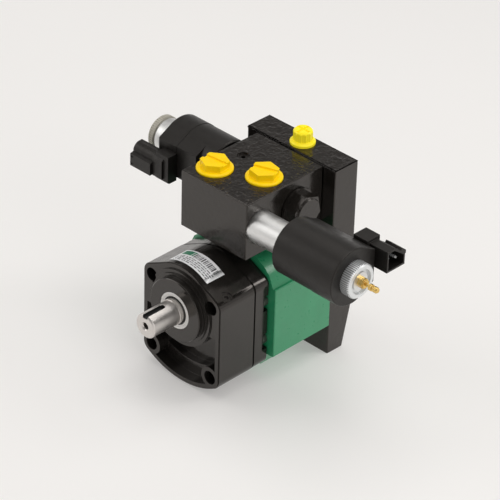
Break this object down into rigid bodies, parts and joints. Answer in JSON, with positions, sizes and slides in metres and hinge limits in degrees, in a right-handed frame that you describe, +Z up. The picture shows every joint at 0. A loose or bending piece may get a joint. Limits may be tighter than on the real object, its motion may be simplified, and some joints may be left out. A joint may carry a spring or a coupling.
{
  "type": "hydraulic gear motor",
  "caption": "Flange-mounted hydraulic gear motor with a keyed shaft in a bearing nose, a green gear body, a rear port block and a valve block carrying solenoid cartridge valves.",
  "frame": {"origin": "on the shaft axis, in the plane of the mounting face", "axes": "-Y out along the output shaft, +Z up towards the valve block's ports, +X to the right seen from the shaft end"},
  "size_m": [0.2548, 0.169, 0.1708],
  "materials": {
    "black_paint": "gloss black enamel over rough castings",
    "green_paint": "semi-gloss green enamel",
    "coil_plastic": "satin black moulding",
    "zinc_steel": "bright zinc plating",
    "machined_steel": "ground and turned steel",
    "screw_steel": "oiled dark steel",
    "spring_steel": "bright spring wire",
    "brass": "turned brass",
    "bush_alloy": "machined alloy",
    "yellow_plastic": "moulded yellow",
    "lemon_plastic": "moulded lemon yellow",
    "seal_rubber": "matt rubber",
    "white_seal": "pale moulding",
    "label_foil": "printed silver foil",
    "end_ring": "beige moulding"
  },
  "bodies": {
    "housing": {"nose_housing": "black_paint", "bearing_outer": "machined_steel", "snap_ring": "screw_steel", "seal_case": "zinc_steel", "shaft_seal": "white_seal", "label_plate": "label_foil", "bleed_screw": "screw_steel", "cover_seal": "seal_rubber", "front_cover": "black_paint", "cover_screws": "screw_steel", "gear_body": "green_paint", "bush_front": "bush_alloy", "bush_rear": "bush_alloy", "body_seals": "seal_rubber", "through_bolts": "screw_steel", "rear_block": "black_paint", "valve_block": "black_paint", "block_screws": "screw_steel", "gallery_plugs": "black_paint", "port_plugs": "yellow_plastic", "drain_plug": "lemon_plastic", "prop_cartridge": "zinc_steel", "prop_core": "zinc_steel", "prop_ring": "white_seal", "prop_coil": "coil_plastic", "prop_connector": "coil_plastic", "prop_terminals": "zinc_steel", "prop_nut": "zinc_steel", "prop_guide": "brass", "prop_spring": "spring_steel", "dir_cartridge": "zinc_steel", "dir_core": "zinc_steel", "dir_coil": "coil_plastic", "dir_connector": "coil_plastic", "dir_terminals": "zinc_steel", "dir_nut": "zinc_steel", "dir_cap": "end_ring", "dir_spring": "spring_steel", "relief_cap": "black_paint", "relief_spring": "spring_steel"},
    "rotor": {"output_shaft": "machined_steel", "coupling": "machined_steel", "drive_gear": "machined_steel", "bearing_inner": "machined_steel"},
    "cage": {"bearing_balls": "machined_steel", "bearing_cage": "brass"},
    "idler": {"driven_gear": "machined_steel"},
    "override": {"override_pin": "brass"},
    "prop_slider": {"prop_armature": "machined_steel", "prop_spool": "machined_steel"},
    "dir_slider": {"dir_armature": "machined_steel", "dir_spool": "machined_steel"},
    "relief": {"relief_poppet": "machined_steel"}
  },
  "joints": [
    {"name": "shaft_turn", "type": "hinge", "parent": "housing", "child": "rotor", "pos_m": [0, 0, 0], "axis": [0, 1, 0], "continuous": true},
    {"name": "cage_turn", "type": "hinge", "parent": "housing", "child": "cage", "pos_m": [0, 0, 0], "axis": [0, 1, 0], "continuous": true},
    {"name": "idler_turn", "type": "hinge", "parent": "housing", "child": "idler", "pos_m": [0, 0, -0.033], "axis": [0, 1, 0], "continuous": true},
    {"name": "override_push", "type": "slide", "parent": "housing", "child": "override", "axis": [-1, 0, 0], "range_m": [0, 0.003], "stiffness_N_per_m": 600, "springref_m": -0.001},
    {"name": "prop_slide", "type": "slide", "parent": "housing", "child": "prop_slider", "axis": [-1, 0, 0], "range_m": [0, 0.003], "deforming": ["prop_spring"]},
    {"name": "dir_slide", "type": "slide", "parent": "housing", "child": "dir_slider", "axis": [1, 0, 0], "range_m": [0, 0.003], "stiffness_N_per_m": 800, "springref_m": -0.002, "deforming": ["dir_spring"]},
    {"name": "relief_slide", "type": "slide", "parent": "housing", "child": "relief", "axis": [1, 0, 0], "range_m": [0, 0.0025], "stiffness_N_per_m": 8000, "springref_m": -0.002, "deforming": ["relief_spring"]}
  ],
  "couplings": [
    {"joint": "cage_turn", "follows": "shaft_turn", "ratio": 0.397},
    {"joint": "idler_turn", "follows": "shaft_turn", "ratio": -1},
    {"joint": "prop_slide", "follows": "override_push", "ratio": 1}
  ]
}
